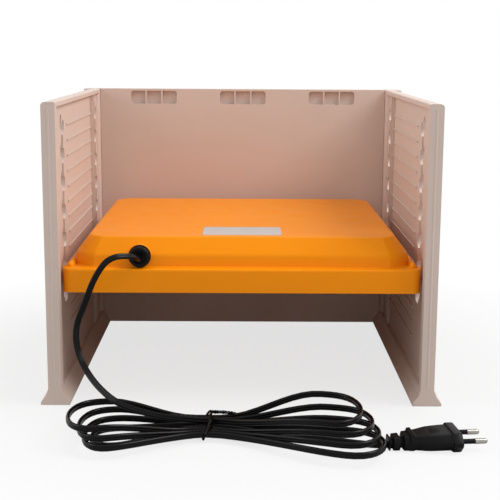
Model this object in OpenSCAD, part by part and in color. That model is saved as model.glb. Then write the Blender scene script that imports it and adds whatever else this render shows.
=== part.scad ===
// Brooder heat plate: a heated plate hung at a chosen height between two side panels and a back panel.
// Millimetres, +Z up, front towards -Y. The origin is on the floor, under the middle of the enclosure.

/* [Enclosure] */
// Width across the outer faces of the two side panels
enclosure_w = 300; // [280:1:360]
// Depth of a side panel, front face to rear end
panel_d = 277; // [265:1:320]
// Height of the three panels
panel_h = 234; // [225:1:300]
// Thickness of a side panel at its rails
panel_t = 10.5; // [9:0.1:14]
// Thickness of a side panel's web, between its two shallow recesses
web_t = 4.5; // [3:0.1:6]
// Depth of the front rail of a side panel
front_rail = 10; // [6:0.5:16]
// Height of the top rail of a side panel
top_rail = 4; // [3:0.5:12]
// Rounding along the outer top edge of a side panel
top_round = 3; // [1:0.1:4]
// Height of the flared foot
foot_h = 13; // [8:0.5:20]
// How far the foot flares out on each side
foot_flare = 6; // [2:0.5:6]
// Thickness of the corner post at the rear of a side panel
post_t = 15; // [14:0.1:18]
// Thickness of the back panel
back_t = 9; // [7:0.1:9]

/* [Height tracks] */
// Number of heights the plate can hang at
level_count = 7; // [4:1:7]
// Height of the lowest stud position
first_level_z = 74.5; // [70:0.5:78]
// Height the plate hangs at, counted from zero at the lowest
rest_level = 1; // [0:1:3]
// Distance of the highest stud position below the top edge
level_top = 24.5; // [22:0.5:40]
// Front track, measured back from the front face
front_track = 50; // [44:1:60]
// Rear track, measured back from the front face
rear_track = 245; // [240:1:247]
// Width of a notch beside the track
notch_d = 9; // [8:0.5:10]
// Height of a notch
notch_h = 11.7; // [11:0.1:13]
// Sideways offset of a notch from the track's centre line
notch_offset = 5.5; // [5:0.5:7]

/* [Heating plate] */
// Width of the plate across its lip
plate_w = 277; // [270:0.5:277]
// Depth of the plate across its lip
plate_d = 254; // [252:0.5:255]
// Setback of the plate from the front face of the panels
plate_setback = 10; // [8:0.5:11]
// Height of the lip
lip_h = 19; // [16:0.5:24]
// Height of the raised cover above the lip
dome_h = 22.5; // [20:0.5:28]
// Width of the ledge between lip and raised cover
ledge_w = 7; // [6:0.5:9]
// Wall of the moulded plate cover
cover_wall = 2.4; // [2:0.1:3]
// Diameter of a guide stud
stud_d = 8; // [6:0.5:9]
// Thickness of the base sheet under the plate
base_t = 2.4; // [2:0.1:3.5]
// Thickness of the insulation pad
pad_t = 8; // [6:0.5:9]

/* [Cord and plug] */
// Thickness of the flat two-core cord
cord_t = 3; // [2.8:0.1:3.2]
// Width of the flat two-core cord
cord_w = 4.8; // [4.6:0.1:5]
// Diameter of a plug pin
pin_d = 4; // [3.8:0.1:4.2]
// Length of a plug pin
pin_len = 19; // [17:0.5:20]

/* [Hidden] */
$fn = 48;
// Overrun of every cut past the face it opens
over = 1;
// Clearance of pieces that are pushed together
fit_gap = 0.25;
// Running clearance of a stud in its track, each side
track_gap = 0.5;
// Share that brings a round-ended profile to a half
half_share = 0.5;

front_y = -panel_d * half_share;
rear_y = panel_d * half_share;
inner_x = enclosure_w * half_share - panel_t;
outer_x = enclosure_w * half_share;
recess = (panel_t - web_t) * half_share;

// Side panel details
rear_rail = 15;
foot_edge = 2;
foot_hollow = 0.3;
inner_round = 1;
notch_lift = 4.5;
notch_step = 2.4;
bridge_t = 1.2;
level_pitch = (panel_h - level_top - first_level_z) / (level_count - 1);
slat_pitch = 12.5;
slat_top = 22;
slat_w = 1.6;
slat_proud = 0.9;
slat_first_z = panel_h - slat_top;
slat_last_z = 30;
slat_margin = 22;
rib_w = 2;
rib_proud = 2.2;
rib_step = 10;
rib_offset = 23;
post_d = 20;
post_round = 4;
seam_r = 1.2;
seam_proud = 0.4;
groove_depth = 4;
groove_floor = 6;

// Back panel details
back_inset = 1;
tongue_t = 5;
back_face_y = rear_y - back_inset - back_t;
tongue_y = back_face_y + (back_t - tongue_t) * half_share;
pocket_count = 3;
pocket_pitch = 87;
pocket_w = 44.5;
pocket_h = 12.5;
pocket_rim = 2;
pocket_depth = 3.5;
pocket_round = 2.5;
pocket_steps = 3;
pocket_cells = 3;
pocket_rib = 1.6;
back_skin = 3;
back_rim = 10;
back_ribs = 2;
back_rib_t = 2.4;

// Plate, measured up from the lower edge of its lip
stud_z = first_level_z + rest_level * level_pitch;
plate_z = stud_z - lip_h * half_share;
plate_front = front_y + plate_setback;
plate_mid_y = plate_front + plate_d * half_share;
plate_rear = plate_front + plate_d;
lip_corner = 6;
lip_round = 2.4;
corner_steps = 6;
dome_corner = 16;
dome_corner_top = 11.5;
corner_flat_share = 0.5;
band_h = 9.2;
band_inset = 0.7;
slope_run = 9;
dome_round = 1.5;
stud_end_gap = recess + bridge_t + 2 * fit_gap;
stud_len = outer_x - stud_end_gap - plate_w * half_share;
bead_r = 3.2;
bead_end = 11;
bead_inset = 5;
base_recess = 1;
base_rim_h = 4;
base_rim_t = 1.8;
base_seat = base_recess + base_t;
cover_top_z = lip_h + dome_h;
ceiling_z = cover_top_z - cover_wall;
lip_ceiling_z = lip_h - cover_wall;

// Base screws
post_inset = 10;
boss_d = 8;
screw_d = 3;
pilot_d = 2.4;
screw_len = 10;
screw_head_d = 5.6;
screw_head_h = 1.8;
screw_side_share = 0.5;

// Heater stack
stack_margin = 17;
spreader_t = 1;
film_t = 0.6;
film_margin = 3;
electrode_w = 10;
electrode_t = 0.3;
electrode_margin = 6;
pad_margin = 1;
spreader_z = base_seat;
film_z = spreader_z + spreader_t;
electrode_z = film_z + film_t;
pad_z = electrode_z + electrode_t;
stack_w = plate_w - (cover_wall + stack_margin) * 2;
stack_d = plate_d - (cover_wall + stack_margin) * 2;

// Thermal cut-out, measured from the gland and the plate's front
cutout_d = 16;
cutout_h = 7;
cutout_flange_d = 19;
cutout_flange_h = 1.2;
cutout_tab_w = 6;
cutout_tab_t = 0.8;
cutout_tab_h = 6;
cutout_tab_step = 8;
cutout_back = 105;
window_gap = 2;

// Cable gland
gland_share = 0.286;
gland_x = -plate_w * gland_share;
gland_up = 27.9;
gland_flange_d = 17.4;
gland_flange_t = 2.5;
gland_thread_d = 12;
gland_cap_d = 16;
gland_cap_l = 4.5;
gland_cap_round = 1.6;
gland_well_d = 10.5;
gland_well = 3;
well_sides = 8;
gland_bore_d = 7;
gland_nut_t = 4;
gland_nut_d = 14.5;
seal_l = 1.5;
gland_boss_d = 17.4;
gland_seat_y = plate_front + ledge_w;
gland_cap_back_y = gland_seat_y - gland_flange_t;
gland_exit_y = gland_cap_back_y - gland_cap_l;
gland_z = plate_z + gland_up;
gland_reach = slope_run + 2 * cover_wall;
hex_sides = 6;

// Cord clamp and terminal block inside the cover
clamp_back = 34;
clamp_span = 18;
clamp_post_d = 7;
clamp_bar_w = 8;
clamp_bar_t = 4;
clamp_overhang = 5;
clamp_rib_w = 4;
inner_cord_l = 12;
block_back = 64;
block_w = 24;
block_d = 14;
block_h = 11;
block_top = 31;
block_cell_share = 0.25;
block_wire_d = 3;
block_bore_d = 3.4;
terminal_screw_d = 4;
terminal_screw_h = 1.2;
wire_d = 1.8;
wire_sides = 8;

// Bare rating label on the cover
label_w = 62.5;
label_d = 38;
label_t = 0.3;
label_front = 6;
label_round = 2;
dome_inset = ledge_w + band_inset + slope_run;

// Flat cord hank: strands stand on edge and are drawn in side by side at the waist
cord_gap = 0.6;
loop_count = 4;
layer_step = cord_w + cord_gap;
lane_step = 5;
waist = [-25, -60];
waist_lift = 2.4;
turn_lift = 0.8;
// Reach, centre and half-width of each turn, from the top of the pile down
right_reach = [84, 91, 95, 98];
right_centre = [-80, -90, -98, -104];
right_half = [32, 28, 26, 25];
left_reach = [-122, -114, -110, -106];
left_centre = [-77, -80, -84, -77];
left_half = [29, 30, 30, 18];
swell_power_share = 1.7;
swell_share = 2.43;
shift_share = 0.9;
climb_shares = [0.1, 0.75];
rings_per_turn = 12;
hank_sides = 6;
lead_sides = 8;
probe_steps = 4;
probe_reach = 3;

// Cord from the gland down to the hank, from the middle of the enclosure's front edge on the floor
lead_route = [
    [-25, -62.5, 10.2], [-32, -62.5, 10.4], [-44, -64, 12], [-56, -66, 14], [-68, -67, 17], [-79, -66, 20],
    [-89, -62, 23], [-97, -55, 26], [-105, -46, 30], [-112, -37, 35], [-118, -30, 42], [-122, -25, 50],
    [-124, -22, 60], [-123, -20, 71], [-119, -20, 82], [-115, -20, 92], [-111, -20, 102], [-106, -19, 111],
    [-101, -17, 117], [-95, -14, 120], [-88, -9, 120], [-82, -3, 118]
];
// Cord from the hank to the plug, under the ends of the loops
tail_route = [
    [-25, -62.5, 4.8], [-15, -62.5, 4.6], [0, -64, 3.6], [15, -67, 2.6], [30, -71, 2.4], [45, -75, 2.4],
    [60, -80, 2.4], [75, -85.5, 2.4], [86, -89, 2.4], [94, -91, 2.5]
];

// Twist tie
tie_d = 1.6;
tie_sides = 8;
tie_clear = 0.5;
tie_tail_l = 22;
tie_tail_d = 2.6;
tie_corner_share = 0.35;

// Plug, lying flat in front of the right panel
plug_face_x = 151.4;
plug_ahead = 86.5;
plug_turn = 6;
plug_w = 35.3;
plug_h = 13.7;
plug_flat = 24;
plug_side = 2.4;
plug_head_l = 6.6;
// Body sections from the neck to the head: place behind the face, width, height, flat top, middle height
body_sections = [[-31, 18, 10.8, 14, 5.8], [-20, 26, 11.4, 20.4, 6.4], [-6.6, 30, 11.8, 21.6, 6.85]];
collar_section = [-39.6, 16, 10.4, 12.6, 5.3];
collar_l = 4.5;
knob_section = [-35.3, 18.6, 12.6, 15, 6.4];
knob_l = 3.3;
relief_back = 49.8;
relief_entry_z = 3;
// Relief blocks: place behind the face, width, height, flat top, middle height
relief_sections = [[-49.8, 13.4, 9.2, 10.6, 4.7], [-46.8, 14, 9.6, 11, 4.9]];
relief_block_l = [1.4, 5.1];
relief_core_section = [-49.8, 8, 6, 6, 3.8];
pin_spacing = 18.6;
sleeve_l = 10;
sleeve_d = pin_d - 0.2 * pin_d * half_share;
pin_core_d = pin_d * 0.65;
pin_root = 6;
plug_z = plug_h * half_share;
plug_y = front_y - plug_ahead;
// Place on the plug's middle line, that far behind its face, where the cord goes in
function relief_at(back) = [
    plug_face_x - back * cos(plug_turn), plug_y - back * sin(plug_turn), relief_entry_z
];

beige = [0.85, 0.75, 0.70];
orange = [0.94, 0.58, 0.12];
black = [0.09, 0.09, 0.10];

// Shared shapes

// Rectangle with round corners, centred
module round_rect(w, d, r) {
    square([w - 2 * r, d], center = true);
    square([w, d - 2 * r], center = true);
    for (x = [-1, 1], y = [-1, 1])
        translate([x * (w * half_share - r), y * (d * half_share - r)]) circle(r);
}

// Rectangle standing on the X axis, with its upper left and upper right corners rounded
module round_top(w, h, left, right) {
    round = max(left, right);
    translate([-w * half_share, 0]) square([w, h - round]);
    translate([-w * half_share + left, 0]) square([w - left - right, h]);
    square([w * half_share, h - right]);
    translate([-w * half_share + left, h - left]) circle(left);
    translate([w * half_share - right, h - right]) circle(right);
}

// Flat slot outline with round ends, long side upright
module upright_slot(w, h) {
    square([w, h - w], center = true);
    for (z = [-1, 1]) translate([0, z * (h - w) * half_share]) circle(d = w);
}

// Cylinder lying along X or Y
module rod_x(d, l) { rotate([0, 90, 0]) cylinder(d = d, h = l); }
module rod_y(d, l) { rotate([-90, 0, 0]) cylinder(d = d, h = l); }

// Swept tubes

function unit(v) = v / norm(v);
function last(v) = len(v) - 1;
function ahead(p, i) = unit(p[min(i + 1, last(p))] - p[max(i - 1, 0)]);
function square_to(v, t) = unit(v - (v * t) * t);
// Section axes that keep upright along a level run
function upright(p) = [for (i = [0:last(p)]) square_to([0, 0, 1], ahead(p, i))];
// Section axes carried along a run that turns over
function carried(p, up, i = 0) =
    i > last(p) ? [] : let (u = square_to(up, ahead(p, i))) concat([u], carried(p, u, i + 1));
// Swept tube of oval section along points
module swept(p, ups, w, h, sides) {
    rings = [
        for (i = [0:last(p)], k = [0:sides - 1])
            let (side = cross(ahead(p, i), ups[i]), a = 360 * (k + half_share) / sides)
            p[i] + side * (w * half_share * cos(a)) + ups[i] * (h * half_share * sin(a))
    ];
    walls = [
        for (i = [0:last(p) - 1], k = [0:sides - 1])
            let (a = i * sides + k, b = i * sides + (k + 1) % sides)
            each [[a, b, b + sides], [a, b + sides, a + sides]]
    ];
    end = last(p) * sides;
    caps = [for (k = [1:sides - 2]) each [[0, k + 1, k], [end, end + k, end + k + 1]]];
    polyhedron(rings, concat(walls, caps));
}

// Enclosure

// Cross-section of a side panel: rounded top, foot flared in a hollow curve
module panel_section() {
    round_top(panel_t, panel_h, top_round, inner_round);
    toe = panel_t * half_share + foot_flare;
    bend = [panel_t * half_share + foot_flare * foot_hollow, foot_edge + (foot_h - foot_edge) * half_share];
    polygon([
        [-toe, 0], [-toe, foot_edge], [-bend[0], bend[1]], [-panel_t * half_share, foot_h],
        [panel_t * half_share, foot_h], [bend[0], bend[1]], [toe, foot_edge], [toe, 0]
    ]);
}

// Groove for a stud in a panel's web, with an open notch in front and behind at each height
module track(y) {
    run = (level_count - 1) * level_pitch;
    width = stud_d + 2 * track_gap;
    translate([0, y, first_level_z]) {
        translate([bridge_t - web_t * half_share, 0, 0]) {
            translate([0, -width * half_share, 0]) cube([panel_t, width, run]);
            for (z = [0, run]) translate([0, 0, z]) rod_x(width, panel_t);
        }
        for (i = [0:level_count - 1], side = [-1, 1])
            translate([-panel_t, side * notch_offset, i * level_pitch + notch_lift - side * notch_step])
                rotate([90, 0, 90]) linear_extrude(2 * panel_t) upright_slot(notch_d, notch_h);
    }
}

// Shallow horizontal slats and the paired upright ribs on both faces of the web
module web_relief() {
    field = [front_y + front_track + slat_margin, front_y + rear_track - rib_offset - rib_step];
    for (z = [slat_first_z : -slat_pitch : slat_last_z])
        translate([-web_t * half_share - slat_proud, field[0], z])
            cube([web_t + 2 * slat_proud, field[1] - field[0], slat_w]);
    for (k = [0, 1])
        translate([-web_t * half_share - rib_proud,
                   front_y + rear_track - rib_offset - k * rib_step, foot_h])
            cube([web_t + 2 * rib_proud, rib_w, panel_h - foot_h - top_rail]);
}

// Side panel about its own middle plane, inner face towards +X
module side_panel() {
    open_d = panel_d - front_rail - rear_rail;
    open_h = panel_h - top_rail - foot_h;
    difference() {
        union() {
            difference() {
                translate([0, rear_y, 0]) rotate([90, 0, 0])
                    linear_extrude(panel_d - seam_proud) panel_section();
                for (side = [0, 1]) mirror([side, 0, 0])
                    translate([web_t * half_share, front_y + front_rail, foot_h])
                        cube([panel_t + foot_flare, open_d, open_h]);
            }
            web_relief();
            // Parting line down the front rail
            translate([0, front_y + seam_r, foot_h]) cylinder(r = seam_r, h = panel_h - foot_h - top_rail);
            translate([panel_t * half_share - post_t * half_share, rear_y - post_d * half_share, 0])
                linear_extrude(panel_h) round_rect(post_t, post_d, post_round);
        }
        for (y = [front_track, rear_track]) track(front_y + y);
        // Groove that takes the back panel's tongue, open at the top
        translate([panel_t * half_share - groove_depth, tongue_y - fit_gap, groove_floor])
            cube([groove_depth + over + foot_flare, tongue_t + 2 * fit_gap, panel_h]);
    }
}

module left_side_panel() {
    color(beige) translate([-(outer_x - panel_t * half_share), 0, 0]) side_panel();
}

module right_side_panel() {
    color(beige) mirror([1, 0, 0]) translate([-(outer_x - panel_t * half_share), 0, 0]) side_panel();
}

// Outline of a pocket with its corners eased, centred
function pocket_outline() = [
    for (q = [0:3], k = [0:pocket_steps])
        let (
            a = 90 * (q + k / pocket_steps),
            cx = (q == 0 || q == 3 ? 1 : -1) * (pocket_w * half_share - pocket_round),
            cz = (q < 2 ? 1 : -1) * (pocket_h * half_share - pocket_round)
        )
        [cx + pocket_round * cos(a), cz + pocket_round * sin(a)]
];

// Blind pocket near the back panel's top edge, parted by upright ribs
module pocket() {
    cell_w = (pocket_w - (pocket_cells - 1) * pocket_rib) / pocket_cells;
    translate([0, pocket_depth, 0]) rotate([90, 0, 0]) linear_extrude(pocket_depth + over) difference() {
        polygon(pocket_outline());
        for (i = [1:pocket_cells - 1])
            translate([i * (cell_w + pocket_rib) - pocket_w * half_share - pocket_rib, -pocket_h])
                square([pocket_rib, 2 * pocket_h]);
    }
}

module back_panel() {
    half_w = inner_x - fit_gap;
    foot_w = half_w - foot_flare;
    bend = [half_w - foot_flare * foot_hollow, foot_edge + (foot_h - foot_edge) * half_share + 2 * fit_gap];
    tongue_w = inner_x + groove_depth - fit_gap;
    hollow_w = (2 * (half_w - back_rim) - back_ribs * back_rib_t) / (back_ribs + 1);
    color(beige * 0.97) difference() {
        union() {
            translate([0, back_face_y + back_t, 0]) rotate([90, 0, 0]) linear_extrude(back_t) polygon([
                [-foot_w, 0], [foot_w, 0], [foot_w, foot_edge + fit_gap], [bend[0], bend[1]],
                [half_w, foot_h + fit_gap], [half_w, panel_h], [-half_w, panel_h],
                [-half_w, foot_h + fit_gap], [-bend[0], bend[1]], [-foot_w, foot_edge + fit_gap]
            ]);
            translate([-tongue_w, tongue_y, foot_h + 2 * over])
                cube([2 * tongue_w, tongue_t, panel_h - foot_h - 3 * over]);
        }
        for (i = [0:pocket_count - 1])
            translate([(i - (pocket_count - 1) * half_share) * pocket_pitch, back_face_y,
                       panel_h - pocket_rim - pocket_h * half_share]) pocket();
        // Hollow rear face, parted by upright ribs
        for (i = [0:back_ribs])
            translate([-half_w + back_rim + i * (hollow_w + back_rib_t), back_face_y + back_skin,
                       foot_h + back_rim])
                cube([hollow_w, back_t, panel_h - foot_h - 2 * back_rim - pocket_h]);
    }
}

// Heating plate

// Corner points of a rounded rectangle at one height, as a ring of a stacked form
function plan_ring(w, d, r, z, flat = 0) = [
    for (q = [0:3], k = [0:corner_steps])
        let (
            t = k / corner_steps,
            a = 90 * q,
            cx = (q == 0 || q == 3 ? 1 : -1) * (w * half_share - r),
            cy = (q < 2 ? 1 : -1) * (d * half_share - r),
            chord = (1 - t) * [cos(a), sin(a)] + t * [cos(a + 90), sin(a + 90)],
            arc = [cos(a + 90 * t), sin(a + 90 * t)],
            at = r * (flat * chord + (1 - flat) * arc)
        )
        [cx + at[0], cy + at[1], z]
];

// Closed form through rings of equal count, from the lowest up
module stacked(rings) {
    n = len(rings[0]);
    top = last(rings) * n;
    walls = [
        for (i = [0:last(rings) - 1], k = [0:n - 1])
            let (a = i * n + k, b = i * n + (k + 1) % n) each [[a, b + n, b], [a, a + n, b + n]]
    ];
    caps = [for (k = [1:n - 2]) each [[0, k, k + 1], [top, top + k + 1, top + k]]];
    polyhedron([for (r = rings) each r], concat(walls, caps));
}

// Outer form of the lip, with its rounded upper edge
module lip_form() {
    stacked(concat(
        [plan_ring(plate_w, plate_d, lip_corner, 0)],
        [for (a = [0, 30, 60, 90])
            let (inset = lip_round * (1 - cos(a)), drop = lip_round * (1 - sin(a)))
            plan_ring(plate_w - 2 * inset, plate_d - 2 * inset, lip_corner - inset, lip_h - drop)]
    ));
}

// Ring of the raised cover, with creased corners
function dome_ring(w, d, inset, r, z) = plan_ring(w - 2 * inset, d - 2 * inset, r, z, corner_flat_share);

// Form of the raised cover: a low upright band, then a slope to the flat top, drawn in by a wall
module dome_form(inset, foot, top) {
    w = plate_w - 2 * (ledge_w + inset);
    d = plate_d - 2 * (ledge_w + inset);
    run = band_inset + slope_run;
    stacked([
        dome_ring(w, d, 0, dome_corner, foot),
        dome_ring(w, d, band_inset, dome_corner, lip_h + band_h - inset * half_share),
        dome_ring(w, d, run, dome_corner_top + dome_round, top - dome_round),
        dome_ring(w, d, run + dome_round, dome_corner_top, top)
    ]);
}

// Places of the base screws, in plan about the plate's middle
function screw_places() = let (
    x = plate_w * half_share - cover_wall - post_inset,
    y = plate_d * half_share - cover_wall - post_inset
) [[-x, -y], [x, -y], [-x, y], [x, y], [-x, 0], [x, 0]];

// Moves to the plate's own frame: middle of the lip's lower edge
module at_plate() { translate([0, plate_mid_y, plate_z]) children(); }
// Places along the cord's line behind the plate's front edge, in the plate's frame
function behind(y) = -plate_d * half_share + y;

module plate_cover() {
    cord_top = gland_up + cord_w * half_share;
    cord_low = gland_up - cord_w * half_share;
    color(orange) at_plate() difference() {
        union() {
            difference() {
                union() {
                    lip_form();
                    dome_form(0, lip_h - over, cover_top_z);
                    for (x = [-1, 1]) side_bead(x);
                }
                translate([0, 0, -over]) linear_extrude(lip_ceiling_z + over)
                    round_rect(plate_w - 2 * cover_wall, plate_d - 2 * cover_wall, lip_corner - cover_wall);
                dome_form(cover_wall, lip_ceiling_z - over, ceiling_z);
            }
            translate([gland_x, behind(ledge_w), gland_up]) rod_y(gland_boss_d, gland_reach);
            for (p = screw_places())
                translate([p[0], p[1], base_seat]) cylinder(d = boss_d, h = lip_h - base_seat - over);
            // Posts and rib for the cord clamp, post for the terminal block
            for (x = [-1, 1])
                translate([gland_x + x * clamp_span * half_share, behind(clamp_back), cord_low])
                    cylinder(d = clamp_post_d, h = cover_top_z - cord_low - over);
            translate([gland_x - clamp_span * half_share, behind(clamp_back) - clamp_rib_w * half_share,
                       cord_top])
                cube([clamp_span, clamp_rib_w, cover_top_z - cord_top - over]);
            translate([gland_x, behind(block_back), block_top])
                cylinder(d = clamp_post_d, h = cover_top_z - block_top - over);
            for (x = [-1, 1], y = [front_track, rear_track])
                translate([x * (plate_w * half_share - over), front_y + y - plate_mid_y, lip_h * half_share])
                    mirror([x < 0 ? 1 : 0, 0, 0]) rod_x(stud_d, stud_len + over);
        }
        translate([gland_x, behind(0), gland_up])
            rod_y(gland_thread_d + 2 * fit_gap, gland_reach + ledge_w + over);
        for (p = screw_places())
            translate([p[0], p[1], base_seat - over]) cylinder(d = pilot_d, h = screw_len + over);
        for (p = inner_screw_places())
            translate([p[0], p[1], p[2] - over]) cylinder(d = pilot_d, h = terminal_depth() + over);
    }
}

// Depth of the pilot holes in the clamp and terminal posts
function terminal_depth() = cover_top_z - cover_wall - block_top;

// Rounded bead along one side ledge
module side_bead(side) {
    x = side * (plate_w * half_share - bead_inset);
    run = plate_d - 2 * bead_end;
    translate([x, -run * half_share, lip_h]) {
        rod_y(2 * bead_r, run);
        for (y = [0, run]) translate([0, y, 0]) sphere(bead_r);
    }
}

module plate_base() {
    w = plate_w - 2 * (cover_wall + fit_gap);
    d = plate_d - 2 * (cover_wall + fit_gap);
    r = lip_corner - cover_wall;
    color(orange * 0.95) at_plate() difference() {
        union() {
            translate([0, 0, base_recess]) linear_extrude(base_t) round_rect(w, d, r);
            translate([0, 0, base_seat - over]) linear_extrude(base_rim_h + over) difference() {
                round_rect(w, d, r);
                round_rect(w - 2 * base_rim_t, d - 2 * base_rim_t, r - base_rim_t);
            }
        }
        for (p = screw_places()) translate([p[0], p[1], 0]) {
            cylinder(d = screw_d + 2 * fit_gap, h = base_seat + over);
            cylinder(d = screw_head_d + 2 * fit_gap, h = base_recess + screw_head_h * half_share);
        }
    }
}

// Screw with a flat round head below and its shank up
module screw(shank) {
    cylinder(d = screw_head_d, h = screw_head_h * half_share);
    cylinder(d = pilot_d, h = shank);
}

module base_screws() {
    color("silver") at_plate() for (p = screw_places())
        translate([p[0], p[1], base_recess]) screw(screw_len);
}

module heat_spreader() {
    color("gainsboro") at_plate() translate([0, 0, spreader_z]) linear_extrude(spreader_t)
        round_rect(stack_w, stack_d, lip_corner);
}

module heating_film() {
    color([0.15, 0.15, 0.16]) at_plate() translate([0, 0, film_z]) linear_extrude(film_t)
        round_rect(stack_w - 2 * film_margin, stack_d - 2 * film_margin, lip_corner);
}

function electrode_x() = stack_w * half_share - film_margin - electrode_margin - electrode_w * half_share;
function electrode_l() = stack_d - 2 * (film_margin + electrode_margin);

module film_electrodes() {
    color([0.78, 0.45, 0.25]) at_plate() for (x = [-1, 1])
        translate([x * electrode_x() - electrode_w * half_share, -electrode_l() * half_share, electrode_z])
            cube([electrode_w, electrode_l(), electrode_t]);
}

module insulation_pad() {
    color([0.93, 0.92, 0.86]) at_plate() difference() {
        translate([0, 0, pad_z]) linear_extrude(pad_t)
            round_rect(stack_w - 2 * pad_margin, stack_d - 2 * pad_margin, lip_corner);
        translate([gland_x, behind(cutout_back), 0])
            cylinder(d = cutout_flange_d + 2 * window_gap, h = lip_h * 2);
        for (x = [-1, 1])
            translate([x * electrode_x(), behind(cutout_back), 0])
                cylinder(d = 2 * wire_d + window_gap, h = lip_h * 2);
    }
}

module thermal_cutout() {
    color([0.25, 0.2, 0.18]) at_plate() translate([gland_x, behind(cutout_back), electrode_z]) {
        cylinder(d = cutout_flange_d, h = cutout_flange_h);
        cylinder(d = cutout_d, h = cutout_h);
        for (x = [-1, 1])
            translate([(x * cutout_tab_step - cutout_tab_t) * half_share, -cutout_tab_w * half_share, 0])
                cube([cutout_tab_t, cutout_tab_w, cutout_h + cutout_tab_h]);
    }
}

// Terminal block, hung from its post; wires enter at the front and leave at the rear
function block_z() = block_top - block_h;

module terminal_block() {
    color("ivory") at_plate() translate([gland_x, behind(block_back), block_z()]) difference() {
        translate([-block_w * half_share, -block_d * half_share, 0]) cube([block_w, block_d, block_h]);
        cylinder(d = block_bore_d, h = 3 * block_h, center = true);
        for (x = [-1, 1]) translate([x * block_w * block_cell_share, 0, 0]) {
            translate([0, -block_d, block_h * half_share]) rod_y(block_wire_d, 2 * block_d);
            translate([0, 0, block_h * half_share])
                cylinder(d = terminal_screw_d + 2 * fit_gap, h = block_h);
        }
    }
}

module terminal_screws() {
    color("goldenrod") at_plate() for (x = [-1, 1])
        translate([gland_x + x * block_w * block_cell_share, behind(block_back),
                   block_top - 2 * terminal_screw_h])
            cylinder(d = terminal_screw_d, h = terminal_screw_h);
}

// Route of one core from the inner cord's end to its terminal
function core_route(side) = let (
    x = gland_x + side * block_w * block_cell_share,
    z = block_z() + block_h * half_share,
    start_y = behind(clamp_back + inner_cord_l),
    end_y = behind(block_back) - block_d * block_cell_share,
    start_z = gland_up + side * cord_w * block_cell_share
) [
    [gland_x, start_y, start_z], [gland_x, start_y + wire_d, start_z],
    [(gland_x + x) * half_share, (start_y + end_y) * half_share - wire_d, (start_z + z) * half_share],
    [x, end_y - 2 * wire_d, z], [x, end_y, z]
];

module supply_wires() {
    color("saddlebrown") at_plate() for (side = [-1, 1])
        swept(core_route(side), upright(core_route(side)), wire_d, wire_d, wire_sides);
}

// Heater wires: block to cut-out, cut-out to the near electrode, block to the far electrode
function heater_routes() = let (
    z = block_z() + block_h * half_share,
    block_y = behind(block_back) + block_d * block_cell_share,
    tab_y = behind(cutout_back),
    tab_z = electrode_z + cutout_h + cutout_tab_h * half_share,
    tab_x = (cutout_tab_step + cutout_tab_t) * half_share,
    step = block_w * block_cell_share,
    rise = pad_z + pad_t + wire_d
) [
    [[gland_x - step, block_y, z], [gland_x - step, block_y + block_d * half_share, z],
     [gland_x - step - 2 * wire_d, tab_y - block_d, (z + tab_z) * half_share],
     [gland_x - step - wire_d, tab_y, tab_z], [gland_x - tab_x, tab_y, tab_z]],
    [[gland_x + tab_x, tab_y, tab_z], [gland_x + 2 * tab_x, tab_y, tab_z],
     [gland_x + 3 * tab_x, tab_y + block_d, tab_z], [gland_x + tab_x, tab_y + 2 * block_d, rise + wire_d],
     [-electrode_x() * 0.9, tab_y + block_d, rise + wire_d], [-electrode_x(), tab_y + wire_d, rise],
     [-electrode_x(), tab_y, rise - 2 * wire_d], [-electrode_x(), tab_y, electrode_z + electrode_t]],
    [[gland_x + step, block_y, z], [gland_x + step, block_y + block_d * half_share, z],
     [gland_x + step + block_w, block_y + 2 * block_d, rise + wire_d],
     [electrode_x() * half_share, tab_y + block_d, rise],
     [electrode_x() * 0.9, tab_y + wire_d, rise + wire_d], [electrode_x(), tab_y, rise - wire_d],
     [electrode_x(), tab_y, electrode_z + electrode_t]]
];

module heater_wires() {
    color("firebrick") at_plate() for (r = heater_routes())
        swept(r, carried(r, [0.2, 0.1, 1]), wire_d, wire_d, wire_sides);
}

// Cord clamp: a bar that presses the cord up against a rib
function inner_screw_places() = [
    for (x = [-1, 1])
        [gland_x + x * clamp_span * half_share, behind(clamp_back), gland_up - cord_w * half_share],
    [gland_x, behind(block_back), block_top]
];

module inner_cord() {
    color(black) at_plate() translate([gland_x, gland_exit_y - plate_mid_y, gland_up])
        rotate([-90, 0, 0]) linear_extrude(behind(clamp_back + inner_cord_l) - gland_exit_y + plate_mid_y)
            upright_slot(cord_t, cord_w);
}

module cord_clamp() {
    l = clamp_span + 2 * clamp_overhang;
    color("dimgray") at_plate()
        translate([gland_x, behind(clamp_back), gland_up - cord_w * half_share - clamp_bar_t]) difference() {
            linear_extrude(clamp_bar_t) round_rect(l, clamp_bar_w, clamp_bar_w * block_cell_share);
            for (x = [-1, 1]) translate([x * clamp_span * half_share, 0, -over])
                cylinder(d = screw_d + 2 * fit_gap, h = clamp_bar_t + 2 * over);
        }
}

module inner_screws() {
    reach = terminal_depth() * half_share;
    low = gland_up - cord_w * half_share - clamp_bar_t - screw_head_h * half_share;
    color("silver") at_plate() {
        for (x = [-1, 1]) translate([gland_x + x * clamp_span * half_share, behind(clamp_back), low])
            screw(clamp_bar_t + screw_head_h * half_share + reach);
        translate([gland_x, behind(block_back), block_z() - screw_head_h * half_share])
            screw(block_h + screw_head_h * half_share + reach);
    }
}

// Cable gland

// Moves to the gland's axis on the cover's seat, with +Z pointing out to the front
module at_gland() { translate([gland_x, gland_seat_y, gland_z]) rotate([90, 0, 0]) children(); }

module gland_body() {
    inside = gland_reach + gland_nut_t + fit_gap;
    color(black) at_gland() difference() {
        union() {
            cylinder(d = gland_flange_d, h = gland_flange_t);
            translate([0, 0, -inside]) cylinder(d = gland_thread_d, h = inside + over);
        }
        translate([0, 0, -inside - over]) cylinder(d = gland_bore_d, h = inside + gland_flange_t + 2 * over);
    }
}

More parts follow.
